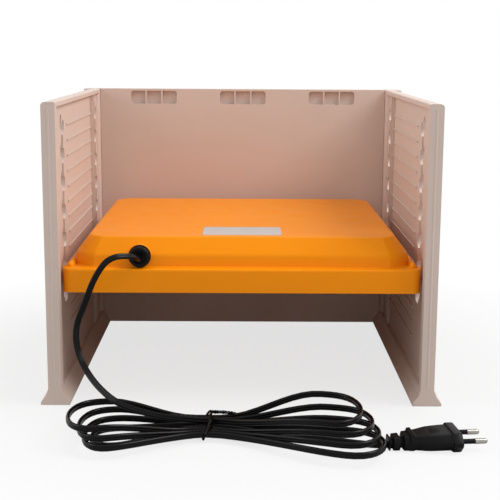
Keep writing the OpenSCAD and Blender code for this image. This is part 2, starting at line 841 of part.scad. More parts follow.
// Domed ring with an eight-sided well that the cord comes out of
module gland_cap() {
    r = gland_cap_d * half_share;
    color(black) at_gland() translate([0, 0, gland_flange_t]) difference() {
        rotate_extrude() {
            square([r, gland_cap_l - gland_cap_round]);
            square([r - gland_cap_round, gland_cap_l]);
            translate([r - gland_cap_round, gland_cap_l - gland_cap_round]) circle(gland_cap_round);
        }
        translate([0, 0, -over]) cylinder(d = gland_bore_d, h = gland_cap_l + 2 * over);
        translate([0, 0, gland_cap_l - gland_well]) rotate([0, 0, 180 / well_sides])
            cylinder(d = gland_well_d / cos(180 / well_sides), h = gland_well + over, $fn = well_sides);
    }
}

module gland_nut() {
    color(black * 1.4) at_gland() translate([0, 0, -gland_reach - gland_nut_t]) difference() {
        cylinder(d = gland_nut_d / cos(180 / hex_sides), h = gland_nut_t, $fn = hex_sides);
        translate([0, 0, -over]) cylinder(d = gland_thread_d + fit_gap, h = gland_nut_t + 2 * over);
    }
}

module gland_seal() {
    color([0.2, 0.2, 0.2]) at_gland()
        translate([0, 0, gland_flange_t + gland_cap_l - gland_well - seal_l]) difference() {
            cylinder(d = gland_bore_d - fit_gap, h = seal_l);
            translate([0, 0, -over]) linear_extrude(seal_l + 2 * over)
                upright_slot(cord_t + fit_gap, cord_w + fit_gap);
        }
}

module rating_label() {
    color("lightgray") at_plate()
        translate([0, behind(dome_inset + dome_round + label_front + label_d * half_share), cover_top_z])
            linear_extrude(label_t) round_rect(label_w, label_d, label_round);
}

// Cord

function eased(a, b, v) = let (t = min(max((v - a) / (b - a), 0), 1)) t * t * (3 - 2 * t);
// Lanes at the waist from rear to front: the returning runs, the plug's run, the outgoing runs
function lane(i) = ((2 * loop_count - 1) * half_share - i) * lane_step;
function rear_lane(k) = lane(k);
function front_lane(k) = k == 0 ? lane(loop_count) : lane(loop_count + k);

// One turn of the hank from lane to lane, with its layers at the waist and at the turn's end
function turn(reach, centre, half, lane_in, lane_out, rest_in, rest_out, layer, lift, way, stop) = [
    for (i = [0:rings_per_turn - stop])
        let (
            a = 180 * i / rings_per_turn, s = sin(a), c = cos(a),
            shift = eased(0, shift_share, s), climb = eased(climb_shares[0], climb_shares[1], s),
            lane_y = lane_in * (1 + c) * half_share + lane_out * (1 - c) * half_share,
            rest = rest_in * (1 + c) * half_share + rest_out * (1 - c) * half_share,
            low = cord_w * half_share + waist_lift + layer_step * rest,
            high = cord_w * half_share + lift + layer_step * layer
        )
        [
            waist[0] + (reach - waist[0]) * s,
            front_y + waist[1] + (centre - waist[1]) * shift + (1 - shift) * lane_y
                - way * swell_share * half * c * pow(s, swell_power_share),
            low + (high - low) * climb
        ]
];

function hank_path() = [
    for (k = [0:loop_count - 1]) each concat(
        turn(right_reach[k], right_centre[k], right_half[k], front_lane(k), rear_lane(k),
             k == 0 ? 1 : 0, 0, loop_count - k, turn_lift, 1, 1),
        turn(left_reach[k], left_centre[k], left_half[k], rear_lane(k),
             k < loop_count - 1 ? front_lane(k + 1) : lane(loop_count),
             0, 0, loop_count - 1 - k, 0, -1, k < loop_count - 1 ? 1 : 0))
];

// Points along the hank's straight pieces, with the cord's oval section evened out to a circle
function probe_points(p) = [
    for (i = [0:last(p) - 1], k = [0:probe_steps - 1])
        let (q = p[i] + (p[i + 1] - p[i]) * k / probe_steps) [q[0], q[1], q[2] * cord_t / cord_w]
];
function hank_gap(q) = min([
    for (i = [0:last(q)], j = [i + 1:1:last(q)])
        if (j - i > probe_steps * probe_reach) norm(q[i] - q[j])
]) - cord_t;

function from_front(p) = [for (q = p) q + [0, front_y, 0]];
function reversed(p) = [for (i = [last(p):-1:0]) p[i]];

module cord_lead() {
    route = concat(from_front(lead_route), [[gland_x, gland_exit_y - 2 * cord_t, gland_z],
                                            [gland_x, gland_exit_y, gland_z]]);
    color(black) swept(route, carried(route, [0, 0, 1]), cord_t, cord_w, lead_sides);
}

module cord_hank() {
    path = hank_path();
    echo(least_gap_in_hank = hank_gap(probe_points(path)));
    color(black) swept(path, upright(path), cord_t, cord_w, hank_sides);
}

module cord_tail() {
    route = concat(from_front(tail_route),
                   [relief_at(relief_back + cord_t), relief_at(relief_back)]);
    color(black) swept(route, upright(route), cord_t, cord_w, lead_sides);
}

// Wire tie round the hank's waist, with its twisted ends lying along the bundle
module twist_tie() {
    half_w = ((2 * loop_count - 1) * lane_step + cord_t + tie_d) * half_share + tie_clear;
    low = tie_d * half_share;
    side_top = waist_lift + cord_w + tie_clear + low;
    top = waist_lift + cord_w + layer_step + tie_clear + low;
    mid = half_w * tie_corner_share;
    loop = [
        [0, mid, top], [0, half_w, side_top - tie_d], [0, half_w, low + tie_d], [0, half_w - tie_d, low],
        [0, 0, low], [0, tie_d - half_w, low], [0, -half_w, low + tie_d], [0, -half_w, side_top - tie_d],
        [0, -mid, top],
        [0, 0, top + tie_d * tie_corner_share], [tie_d, mid * half_share, top + tie_d]
    ];
    tail = [
        [tie_d, mid * half_share, top + tie_d],
        [tie_d + tie_tail_l * half_share, mid, top + tie_d * half_share],
        [tie_d + tie_tail_l, mid, top]
    ];
    color([0.12, 0.12, 0.13]) translate([waist[0], front_y + waist[1], 0]) {
        swept(loop, carried(loop, [1, 0, 0]), tie_d, tie_d, tie_sides);
        swept(tail, upright(tail), tie_tail_d, tie_tail_d, tie_sides);
    }
}

// Plug

// Puts the plug's middle line on the floor in front of the right panel, with its face at zero
module at_plug() { translate([plug_face_x, plug_y, 0]) rotate([0, 0, plug_turn]) children(); }

// Slice of the plug across its length: flat top and bottom, sloping sides with a low upright edge
module plug_slice(section, l) {
    w = section[1] * half_share;
    h = section[2] * half_share;
    flat = section[3] * half_share;
    side = plug_side * half_share;
    translate([section[0], 0, section[4]]) rotate([90, 0, 90]) linear_extrude(l) polygon([
        [flat, h], [-flat, h], [-w, side], [-w, -side], [-flat, -h], [flat, -h], [w, -side], [w, side]
    ]);
}

module plug_body() {
    color(black) at_plug() difference() {
        union() {
            plug_slice([-plug_head_l, plug_w, plug_h, plug_flat, plug_z], plug_head_l);
            for (i = [1:last(body_sections)]) hull() {
                plug_slice(body_sections[i - 1], over);
                plug_slice(body_sections[i], over);
            }
            plug_slice(knob_section, knob_l + over);
            plug_slice(collar_section, collar_l);
            plug_slice(relief_core_section, relief_back + collar_section[0] + over);
            for (i = [0:last(relief_sections)]) plug_slice(relief_sections[i], relief_block_l[i]);
        }
        for (y = [-1, 1]) translate([-pin_root, y * pin_spacing * half_share, plug_z])
            rod_x(pin_core_d, pin_root + over);
    }
}

module plug_pins() {
    color("silver") at_plug() for (y = [-1, 1]) translate([0, y * pin_spacing * half_share, plug_z]) {
        translate([-pin_root, 0, 0]) rod_x(pin_core_d, pin_root + sleeve_l + over);
        translate([sleeve_l, 0, 0]) rod_x(pin_d, pin_len - sleeve_l - pin_d * half_share);
        translate([pin_len - pin_d * half_share, 0, 0]) sphere(d = pin_d);
    }
}

module pin_sleeves() {
    color(black) at_plug() for (y = [-1, 1])
        translate([0, y * pin_spacing * half_share, plug_z]) difference() {
            rod_x(sleeve_d, sleeve_l);
            translate([-over, 0, 0]) rod_x(pin_core_d, sleeve_l + 2 * over);
        }
}

left_side_panel();
right_side_panel();
back_panel();
plate_cover();
plate_base();
base_screws();
heat_spreader();
heating_film();
film_electrodes();
insulation_pad();
thermal_cutout();
terminal_block();
terminal_screws();
supply_wires();
heater_wires();
inner_cord();
cord_clamp();
inner_screws();
gland_body();
gland_cap();
gland_nut();
gland_seal();
rating_label();
cord_lead();
cord_hank();
cord_tail();
twist_tie();
plug_body();
plug_pins();
pin_sleeves();
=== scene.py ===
"""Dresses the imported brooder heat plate: its cover, cord, tie and plug, its finishes and its stage."""
import math

import bmesh
import bpy
from bpy.props import FloatProperty, FloatVectorProperty, PointerProperty, StringProperty
from mathutils import Matrix, Vector


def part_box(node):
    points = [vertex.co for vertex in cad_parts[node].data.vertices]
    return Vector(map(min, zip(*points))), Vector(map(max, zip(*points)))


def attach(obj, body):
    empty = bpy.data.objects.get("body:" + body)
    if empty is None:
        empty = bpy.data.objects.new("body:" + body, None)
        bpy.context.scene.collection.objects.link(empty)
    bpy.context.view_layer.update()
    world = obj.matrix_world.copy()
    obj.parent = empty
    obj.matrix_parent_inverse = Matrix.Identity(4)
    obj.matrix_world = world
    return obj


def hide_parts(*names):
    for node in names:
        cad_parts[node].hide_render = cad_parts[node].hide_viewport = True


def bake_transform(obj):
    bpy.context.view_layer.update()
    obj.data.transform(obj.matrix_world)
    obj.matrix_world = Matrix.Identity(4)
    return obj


bl_info = {
    "name": "Brooder heat plate",
    "version": (1, 0, 0),
    "blender": (4, 5, 0),
    "location": "3D View > Sidebar > Heat plate",
    "description": "Dresses the packed brooder heat plate and sets its stage",
    "category": "Object",
}

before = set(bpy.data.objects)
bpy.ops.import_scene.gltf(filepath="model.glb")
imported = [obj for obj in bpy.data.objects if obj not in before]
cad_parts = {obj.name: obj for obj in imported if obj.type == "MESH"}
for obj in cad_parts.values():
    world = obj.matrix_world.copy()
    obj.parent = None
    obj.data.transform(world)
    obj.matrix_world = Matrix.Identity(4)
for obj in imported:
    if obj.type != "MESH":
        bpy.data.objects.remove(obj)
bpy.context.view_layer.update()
MM = 0.001

ENCLOSURE = "enclosure"
PLATE = "plate"

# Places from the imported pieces: the side panels' front face, the gland's cap and the plate's base
FRONT_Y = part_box("left_side_panel")[0][1]
GLAND_LOW, GLAND_HIGH = (Vector(corner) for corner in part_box("gland_cap"))
BASE_LOW, BASE_HIGH = (Vector(corner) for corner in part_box("plate_base"))


class CoverSizes(bpy.types.PropertyGroup):
    """Sizes of the moulded cover of the heating plate."""

    width: FloatProperty(
        name="Width", description="Across the lip, side to side", default=0.277, unit="LENGTH")
    depth: FloatProperty(
        name="Depth", description="Across the lip, front to back", default=0.254, unit="LENGTH")
    lip_height: FloatProperty(
        name="Lip height", description="Height of the upright lip", default=0.019, unit="LENGTH")
    dome_height: FloatProperty(
        name="Dome height", description="Rise of the cover above its lip", default=0.0225, unit="LENGTH")
    ledge: FloatProperty(
        name="Ledge", description="Flat ledge between lip and dome", default=0.007, unit="LENGTH")
    wall: FloatProperty(
        name="Wall", description="Thickness of the moulded wall", default=0.0024, unit="LENGTH")
    stud_diameter: FloatProperty(
        name="Stud diameter", description="Guide studs at the sides", default=0.008, unit="LENGTH")


class CordSizes(bpy.types.PropertyGroup):
    """Sizes of the flat two-core cord and of its tie."""

    thickness: FloatProperty(
        name="Thickness", description="Across one core", default=0.003, unit="LENGTH")
    width: FloatProperty(
        name="Width", description="Across both cores", default=0.0048, unit="LENGTH")
    tie_width: FloatProperty(
        name="Tie width", description="Width of the tie's plastic strip", default=0.0026, unit="LENGTH")


class Finishes(bpy.types.PropertyGroup):
    """Colours of the materials, as sRGB hex values."""

    panel: StringProperty(name="Panels", description="Moulded panels", default="CFBCB1")
    cover: StringProperty(name="Cover", description="Moulded plate cover", default="F69002")
    black: StringProperty(name="Black parts", description="Gland and plug", default="0D0D0E")
    cord: StringProperty(name="Cord", description="Cord sheath", default="09090A")
    floor: StringProperty(name="Floor", description="Floor of the stage", default="C8C8C8")


class StageSizes(bpy.types.PropertyGroup):
    """Place and lens of the camera."""

    place: FloatVectorProperty(
        name="Place", description="Camera place ahead of the front face, on the floor's middle",
        default=(0.0, -0.8204, 0.2754), subtype="XYZ", unit="LENGTH")
    turn: FloatVectorProperty(
        name="Turn", description="Camera yaw, downward pitch and roll",
        default=(0.0073, 0.1831, 0.0061), unit="ROTATION")
    lens: FloatProperty(name="Lens", description="Focal length in millimetres", default=79.2)


# Colours and node helper

def hex_colour(text):
    """Linear colour of an sRGB hex value."""
    parts = [int(text[i:i + 2], 16) / 255 for i in (0, 2, 4)]
    linear = [c / 12.92 if c <= 0.04045 else ((c + 0.055) / 1.055) ** 2.4 for c in parts]
    return (*linear, 1.0)


def add(tree, kind, inputs=None, **settings):
    """Adds a node with its settings, and sets or links its inputs."""
    node = tree.nodes.new(kind)
    for name, value in settings.items():
        setattr(node, name, value)
    for name, value in (inputs or {}).items():
        if isinstance(value, bpy.types.NodeSocket):
            tree.links.new(value, node.inputs[name])
        else:
            node.inputs[name].default_value = value
    return node


def new_material(name):
    """A material with its node tree and its shader."""
    material = bpy.data.materials.new(name)
    material.use_nodes = True
    tree = material.node_tree
    return material, tree, tree.nodes["Principled BSDF"]


def per_metre(size_mm):
    """Scale of a noise texture whose features are about that many millimetres across."""
    return 1000.0 / size_mm


# Materials: the dark parts reflect little, as on the object
BLACK_SHINE = 0.12


def moulded_polypropylene(name, colour, roughness, grain_mm, edge_mm, shine=0.5):
    """Injection-moulded polypropylene: satin, faintly mottled, with a fine eroded grain and soft edges."""
    material, tree, shader = new_material(name)
    place = add(tree, "ShaderNodeTexCoord").outputs["Object"]
    flow = add(tree, "ShaderNodeTexNoise", {"Vector": place, "Scale": per_metre(55), "Detail": 3.0})
    shade = hex_colour(colour)
    dim = [c * 0.93 for c in shade[:3]] + [1.0]
    tint = add(tree, "ShaderNodeMix", {0: flow.outputs["Fac"], 6: dim, 7: shade}, data_type="RGBA")
    tree.links.new(tint.outputs[2], shader.inputs["Base Color"])
    patch = add(tree, "ShaderNodeTexNoise", {"Vector": place, "Scale": per_metre(18), "Detail": 4.0})
    gloss = add(tree, "ShaderNodeMapRange", {
        "Value": patch.outputs["Fac"], "From Min": 0.3, "From Max": 0.7,
        "To Min": roughness - 0.05, "To Max": roughness + 0.06})
    tree.links.new(gloss.outputs["Result"], shader.inputs["Roughness"])
    edge = add(tree, "ShaderNodeBevel", {"Radius": edge_mm * MM}, samples=4)
    grain = add(tree, "ShaderNodeTexNoise", {"Vector": place, "Scale": per_metre(grain_mm), "Detail": 2.0})
    bump = add(tree, "ShaderNodeBump", {
        "Strength": 0.12, "Distance": 0.0002,
        "Height": grain.outputs["Fac"], "Normal": edge.outputs["Normal"]})
    tree.links.new(bump.outputs["Normal"], shader.inputs["Normal"])
    shader.inputs["IOR"].default_value = 1.49
    shader.inputs["Specular IOR Level"].default_value = shine
    return material


def soft_vinyl(name, colour):
    """Extruded soft PVC: dark and glossy, with faint scuffs."""
    material, tree, shader = new_material(name)
    place = add(tree, "ShaderNodeTexCoord").outputs["Object"]
    scuff = add(tree, "ShaderNodeTexNoise", {"Vector": place, "Scale": per_metre(4), "Detail": 4.0})
    gloss = add(tree, "ShaderNodeMapRange", {
        "Value": scuff.outputs["Fac"], "From Min": 0.3, "From Max": 0.7, "To Min": 0.12, "To Max": 0.2})
    tree.links.new(gloss.outputs["Result"], shader.inputs["Roughness"])
    bump = add(tree, "ShaderNodeBump", {
        "Strength": 0.08, "Distance": 0.0002, "Height": scuff.outputs["Fac"]})
    tree.links.new(bump.outputs["Normal"], shader.inputs["Normal"])
    shader.inputs["Base Color"].default_value = hex_colour(colour)
    shader.inputs["IOR"].default_value = 1.53
    shader.inputs["Specular IOR Level"].default_value = BLACK_SHINE
    return material


def plated_metal(name, colour, roughness):
    """Plated or rolled metal: bright, with fine drawn scratches in its gloss."""
    material, tree, shader = new_material(name)
    place = add(tree, "ShaderNodeTexCoord").outputs["Object"]
    drawn = add(tree, "ShaderNodeMapping", {"Vector": place, "Scale": (0.15, 1.0, 1.0)})
    lines = add(tree, "ShaderNodeTexNoise", {
        "Vector": drawn.outputs["Vector"], "Scale": per_metre(0.9), "Detail": 3.0})
    gloss = add(tree, "ShaderNodeMapRange", {
        "Value": lines.outputs["Fac"], "From Min": 0.3, "From Max": 0.7,
        "To Min": roughness - 0.06, "To Max": roughness + 0.08})
    tree.links.new(gloss.outputs["Result"], shader.inputs["Roughness"])
    shader.inputs["Base Color"].default_value = hex_colour(colour)
    shader.inputs["Metallic"].default_value = 1.0
    return material


def needled_felt(name, colour):
    """Needled mineral felt: pale and matte, with tangled fibres."""
    material, tree, shader = new_material(name)
    place = add(tree, "ShaderNodeTexCoord").outputs["Object"]
    fibre = add(tree, "ShaderNodeTexNoise", {
        "Vector": place, "Scale": per_metre(2.5), "Detail": 6.0, "Distortion": 1.5})
    bump = add(tree, "ShaderNodeBump", {
        "Strength": 0.5, "Distance": 0.0006, "Height": fibre.outputs["Fac"]})
    tree.links.new(bump.outputs["Normal"], shader.inputs["Normal"])
    shader.inputs["Base Color"].default_value = hex_colour(colour)
    shader.inputs["Roughness"].default_value = 0.95
    return material


# Mesh helpers

def new_piece(name, mesh_data, body, material, smooth_angle=35.0):
    """Makes an object of a bmesh, smooth but for its sharp edges, riding on a body."""
    bmesh.ops.recalc_face_normals(mesh_data, faces=mesh_data.faces)
    limit = math.radians(smooth_angle)
    for face in mesh_data.faces:
        face.smooth = True
    for edge in mesh_data.edges:
        edge.smooth = len(edge.link_faces) == 2 and edge.calc_face_angle() < limit
    mesh = bpy.data.meshes.new(name)
    mesh_data.to_mesh(mesh)
    mesh_data.free()
    piece = bpy.data.objects.new(name, mesh)
    bpy.context.scene.collection.objects.link(piece)
    mesh.materials.append(material)
    if body:
        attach(piece, body)
    return piece


def loft(bm, rings, close_start=True, close_end=True):
    """Skins rings of equal count, and closes its ends with single faces."""
    made = [[bm.verts.new(point) for point in ring] for ring in rings]
    for low, high in zip(made, made[1:]):
        count = len(low)
        for k in range(count):
            bm.faces.new((low[k], low[(k + 1) % count], high[(k + 1) % count], high[k]))
    if close_start:
        bm.faces.new(list(reversed(made[0])))
    if close_end:
        bm.faces.new(made[-1])


def plan_ring(width, depth, radius, z, middle, flat, steps=12):
    """Points of a rectangle at one height, with corners between a full round and a flat chamfer."""
    points = []
    for quarter in range(4):
        cx = (width / 2 - radius) * (1 if quarter in (0, 3) else -1)
        cy = (depth / 2 - radius) * (1 if quarter < 2 else -1)
        first, last = (Vector((math.cos(a), math.sin(a))) for a in (
            math.pi / 2 * quarter, math.pi / 2 * (quarter + 1)))
        for k in range(steps + 1):
            t = k / steps
            angle = math.pi / 2 * (quarter + t)
            arc = Vector((math.cos(angle), math.sin(angle)))
            at = radius * (arc * (1 - flat) + first.lerp(last, t) * flat)
            points.append(Vector((middle.x + cx + at.x, middle.y + cy + at.y, z)))
    return points


def rounded(before, here, after, reach, steps):
    """Points of a corner that is rounded over a reach on both of its sides."""
    start = here + (before - here).normalized() * reach
    end = here + (after - here).normalized() * reach
    shares = [k / steps for k in range(steps + 1)]
    return [start * (1 - t) ** 2 + here * 2 * t * (1 - t) + end * t ** 2 for t in shares]


def softened(corners, steps=10):
    """Path through corners of (inset, height, reach), each rounded over its reach."""
    points = [Vector(corner[:2]) for corner in corners]
    path = points[:1]
    for i in range(1, len(points) - 1):
        path += rounded(points[i - 1], points[i], points[i + 1], corners[i][2], steps)
    return path + points[-1:]


def turned(bm, start, axis, profile, sides=32):
    """Skins a profile of (distance along the axis, radius) round an axis."""
    axis = axis.normalized()
    across = axis.orthogonal().normalized()
    up = axis.cross(across)
    rings = []
    for along, radius in profile:
        rings.append([
            start + axis * along + (across * math.cos(t) + up * math.sin(t)) * radius
            for t in (2 * math.pi * k / sides for k in range(sides))])
    loft(bm, rings)


def ahead(points, i):
    """Direction of a path at one of its points."""
    return (points[min(i + 1, len(points) - 1)] - points[max(i - 1, 0)]).normalized()


def squared(vector, direction):
    """The part of a vector square to a direction, at unit length."""
    return (vector - vector.dot(direction) * direction).normalized()


def carried(points, up):
    """Section axes carried along a path without twist."""
    axes = []
    for i in range(len(points)):
        up = squared(up, ahead(points, i))
        axes.append(up)
    return axes


def swept(bm, points, ups, outline):
    """Skins an outline of (across, up) pairs along a path."""
    rings = []
    for i, point in enumerate(points):
        side = ahead(points, i).cross(ups[i])
        rings.append([point + side * a + ups[i] * b for a, b in outline])
    loft(bm, rings)


def smooth_path(points, steps):
    """A smooth path through points, with that many steps between two of them."""
    path = []
    for i in range(len(points) - 1):
        before = points[max(i - 1, 0)]
        after = points[min(i + 2, len(points) - 1)]
        a, b = points[i], points[i + 1]
        for k in range(steps):
            t = k / steps
            path.append(0.5 * (
                2 * a + (b - before) * t + (2 * before - 5 * a + 4 * b - after) * t ** 2
                + (3 * a - before - 3 * b + after) * t ** 3))
    path.append(points[-1])
    return path


def from_front(points):
    """Points in metres of places in millimetres ahead of the front face, on the floor's middle."""
    return [Vector((x * MM, FRONT_Y + y * MM, z * MM)) for x, y, z in points]


# Cord: the hank's strands stand on edge, side by side at the waist, in turns that pile up at both ends
CORD_GAP = 0.6
LOOPS = 4
LANE_STEP = 5.0
WAIST = (-25.0, -60.0)
WAIST_LIFT = 2.4
TURN_LIFT = 0.8
RIGHT_REACH = (84, 91, 95, 98)
RIGHT_CENTRE = (-80, -90, -98, -104)
RIGHT_HALF = (32, 28, 26, 25)
LEFT_REACH = (-122, -114, -110, -106)
LEFT_CENTRE = (-77, -80, -84, -77)
LEFT_HALF = (29, 30, 30, 18)
TURN_STEPS = 36
TURN_SWELL = 2.43
TURN_SHARPNESS = 1.7
SHIFT_END = 0.9
CLIMB_START = 0.1
CLIMB_END = 0.75
LEAD_ROUTE = (
    (-25, -62.5, 10.2), (-32, -62.5, 10.4), (-44, -64, 12), (-56, -66, 14), (-68, -67, 17), (-79, -66, 20),
    (-89, -62, 23), (-97, -55, 26), (-105, -46, 30), (-112, -37, 35), (-118, -30, 42), (-122, -25, 50),
    (-124, -22, 60), (-123, -20, 71), (-119, -20, 82), (-115, -20, 92), (-111, -20, 102), (-106, -19, 111),
    (-101, -17, 117), (-95, -14, 120), (-88, -9, 120), (-82, -3, 118))
LEAD_TWIST = math.radians(50)
TAIL_ROUTE = (
    (-25, -62.5, 4.8), (-15, -62.5, 4.6), (0, -64, 3.6), (15, -67, 2.6), (30, -71, 2.4), (45, -75, 2.4),
    (60, -80, 2.4), (75, -85.5, 2.4), (86, -89, 2.4), (94, -91, 2.5))


def eased(low, high, value):
    """Smooth rise from 0 to 1 between two values."""
    t = min(max((value - low) / (high - low), 0.0), 1.0)
    return t * t * (3 - 2 * t)


def lane(i):
    """Place of a strand across the waist, from the rear to the front."""
    return ((2 * LOOPS - 1) / 2 - i) * LANE_STEP


def turn(reach, centre, half, lanes, rests, layer, lift, way, width):
    """One turn of the hank, from lane to lane."""
    points = []
    step = width + CORD_GAP
    for i in range(TURN_STEPS):
        angle = math.pi * i / TURN_STEPS
        s, c = math.sin(angle), math.cos(angle)
        shift = eased(0.0, SHIFT_END, s)
        lane_y = lanes[0] * (1 + c) / 2 + lanes[1] * (1 - c) / 2
        rest = rests[0] * (1 + c) / 2 + rests[1] * (1 - c) / 2
        low = width / 2 + WAIST_LIFT + step * rest
        high = width / 2 + lift + step * layer
        swell = way * TURN_SWELL * half * c * s ** TURN_SHARPNESS
        points.append((
            WAIST[0] + (reach - WAIST[0]) * s,
            WAIST[1] + (centre - WAIST[1]) * shift + (1 - shift) * lane_y - swell,
            low + (high - low) * eased(CLIMB_START, CLIMB_END, s)))
    return points


def hank_path(width):
    """Path of the hank, from the lead's end to the tail's start."""
    points = []
    for k in range(LOOPS):
        out = lane(LOOPS) if k == 0 else lane(LOOPS + k)
        after = lane(LOOPS + k + 1) if k < LOOPS - 1 else lane(LOOPS)
        points += turn(RIGHT_REACH[k], RIGHT_CENTRE[k], RIGHT_HALF[k], (out, lane(k)),
                       (1 if k == 0 else 0, 0), LOOPS - k, TURN_LIFT, 1, width)
        points += turn(LEFT_REACH[k], LEFT_CENTRE[k], LEFT_HALF[k], (lane(k), after),
                       (0, 0), LOOPS - 1 - k, 0.0, -1, width)
    return from_front(points)


def twin_outline(thickness, width, steps=7):
    """Outline of a flat cord of two cores with a groove between them, as (across, up) pairs."""
    radius = thickness / 2
    offset = width / 2 - radius
    points = []
    for sign, start in ((1, -0.25), (-1, 0.75)):
        for k in range(steps + 1):
            angle = math.pi * (start + 1.5 * k / steps)
            points.append((radius * math.cos(angle), sign * offset + radius * math.sin(angle)))
    return points


class HEATPLATE_OT_cord(bpy.types.Operator):
    """Lay the flat cord from the gland through its hank to the plug"""

    bl_idname = "heatplate.cord"
    bl_label = "Lay cord"

    def execute(self, context):
        sizes = context.scene.heatplate_cord
        gland = Vector(((GLAND_LOW.x + GLAND_HIGH.x) / 2, GLAND_LOW.y, (GLAND_LOW.z + GLAND_HIGH.z) / 2))
        lead = from_front(LEAD_ROUTE) + [gland + Vector((0, -2 * sizes.thickness, 0)), gland]
        lead = smooth_path(lead, 4)
        lead_ups = carried(lead, Vector((0, 0, 1)))
        for i, up in enumerate(lead_ups):
            # The flat lead twists between its ends
            angle = LEAD_TWIST * math.sin(math.pi * i / (len(lead) - 1))
            lead_ups[i] = Matrix.Rotation(angle, 3, ahead(lead, i)) @ up
        relief = [on_plug(-RELIEF_BACK - back, 0.0, RELIEF_Z) for back in (sizes.thickness / MM, 0.0)]
        tail = smooth_path(from_front(TAIL_ROUTE) + relief, 4)
        laid = hank_path(sizes.width / MM) + tail
        for point in laid:
            point.z = max(point.z, sizes.width / 2)
        path = list(reversed(lead))[:-1] + laid
        ups = list(reversed(lead_ups))[:-1]
        ups += [squared(Vector((0, 0, 1)), ahead(laid, i)) for i in range(len(laid))]
        bm = bmesh.new()
        swept(bm, path, ups, twin_outline(sizes.thickness, sizes.width))
        sheath = soft_vinyl("extruded_pvc_cord", context.scene.heatplate_finish.cord)
        cord = new_piece("flat_cord", bm, None, sheath, 50)
        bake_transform(cord)
        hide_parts("cord_lead", "cord_hank", "cord_tail")
        others = [bpy.data.objects[name] for name in ("plug_moulding", "wire_tie")]
        others += [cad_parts[name] for name in ("plug_pins", "pin_sleeves")]
        return {"FINISHED"}


# Tie, in millimetres, but for its lean, as height over shift, and the step of its twist in radians
TIE_LOW = 1.3
TIE_SIDE = 7.0
TIE_TOP = 13.8
TIE_LEAN = 2.4
TIE_ROOM = 2.6
TWIST_STEP = 0.62
TWIST_RADIUS = 0.8


class HEATPLATE_OT_tie(bpy.types.Operator):
    """Wrap the wire tie round the hank's waist and twist its ends"""

    bl_idname = "heatplate.tie"
    bl_label = "Tie hank"

    def execute(self, context):
        half = (2 * LOOPS - 1) * LANE_STEP / 2 + TIE_ROOM
        low, side, top = TIE_LOW, TIE_SIDE, TIE_TOP
        x = WAIST[0]
        turns = [
            (x, 5, top), (x, 12, 12.4), (x, half, side), (x, half + 0.3, 5), (x, half - 0.6, 2.2),
            (x, half - 4, low), (x, 0, low), (x, 4 - half, low), (x, 0.6 - half, 2.2), (x, -half - 0.3, 5),
            (x, -half, side), (x, -12, 12.4), (x, -5, top), (x, 0, top + 0.4), (x + 1, 3, top + 1)]
        # The loop leans, its top towards the plug
        leaning = [(a + (c - top / 2) / TIE_LEAN, b + WAIST[1], c) for a, b, c in turns]
        loop = smooth_path(from_front(leaning), 6)
        bm = bmesh.new()
        width = context.scene.heatplate_cord.tie_width
        wing = [(0.5, 0.0), (0.3, 0.25), (0.16, 0.55)]
        edge = wing + [(-a, b) for a, b in reversed(wing)]
        strip = [(a * width, b * MM) for a, b in edge + [(a, -b) for a, b in reversed(edge[1:-1])]]
        swept(bm, loop, carried(loop, Vector((0, 0, 1))), strip)
        # The two ends, twisted round each other
        axis = smooth_path(from_front([
            (x + 3.6, WAIST[1] + 3, top + 0.8), (x + 9, WAIST[1] + 5, top),
            (x + 15, WAIST[1] + 6, top - 0.8), (x + 21, WAIST[1] + 6, top - 1.8)]), 16)
        ups = carried(axis, Vector((0, 0, 1)))
        for phase in (0.0, math.pi):
            strand = []
            for i, point in enumerate(axis):
                angle = phase + i * TWIST_STEP
                across = ahead(axis, i).cross(ups[i])
                aside = across * math.cos(angle) + ups[i] * math.sin(angle)
                strand.append(point + aside * TWIST_RADIUS * MM)
            swept(bm, strand, carried(strand, Vector((0, 0, 1))), [(0.6 * a, 0.9 * b) for a, b in strip])
        coat = soft_vinyl("coated_tie_strip", context.scene.heatplate_finish.cord)
        tie = new_piece("wire_tie", bm, ENCLOSURE, coat, 60)
        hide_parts("twist_tie")
        return {"FINISHED"}


# Plug: sections from the relief to the face, as place along, width, height, flat top and middle height
PLUG_FACE = (151.4, -86.5)
PLUG_TURN = math.radians(6)
RELIEF_BACK = 49.8
RELIEF_Z = 3.0
RELIEF = (
    (-49.8, 11.6, 8.0, 9.0, 4.65), (-49.5, 13.2, 9.1, 10.4, 4.65), (-48.9, 13.4, 9.2, 10.6, 4.7),
    (-48.5, 12.2, 8.2, 9.6, 4.7), (-48.3, 8.0, 6.0, 6.0, 3.9), (-47.0, 8.0, 6.0, 6.0, 4.0),
    (-46.8, 12.0, 8.2, 9.6, 4.7), (-46.4, 13.6, 9.4, 10.8, 4.8), (-42.2, 14.0, 9.7, 11.0, 4.95),
    (-41.8, 12.8, 8.8, 10.0, 4.95), (-41.6, 8.4, 6.4, 6.4, 4.4), (-39.9, 8.6, 6.6, 6.6, 4.5))
COLLAR = (
    (-39.6, 14.2, 9.2, 11.0, 5.2), (-39.1, 16.0, 10.4, 12.6, 5.3), (-36.0, 16.6, 10.7, 13.2, 5.45),
    (-35.5, 17.2, 11.3, 13.8, 5.75), (-35.0, 18.4, 12.5, 14.8, 6.35), (-32.6, 18.6, 12.7, 15.0, 6.45),
    (-31.9, 18.0, 11.5, 14.4, 6.0))
BODY = (
    (-31.2, 17.8, 10.8, 14.0, 5.8), (-28.5, 19.4, 10.9, 15.6, 5.9), (-25.0, 22.4, 11.2, 18.2, 6.1),
    (-21.0, 25.6, 11.4, 20.4, 6.35), (-16.0, 27.8, 11.6, 21.2, 6.6), (-10.0, 29.4, 11.8, 21.6, 6.8),
    (-7.6, 30.2, 11.9, 21.8, 6.85), (-6.9, 31.4, 12.2, 22.2, 6.85))
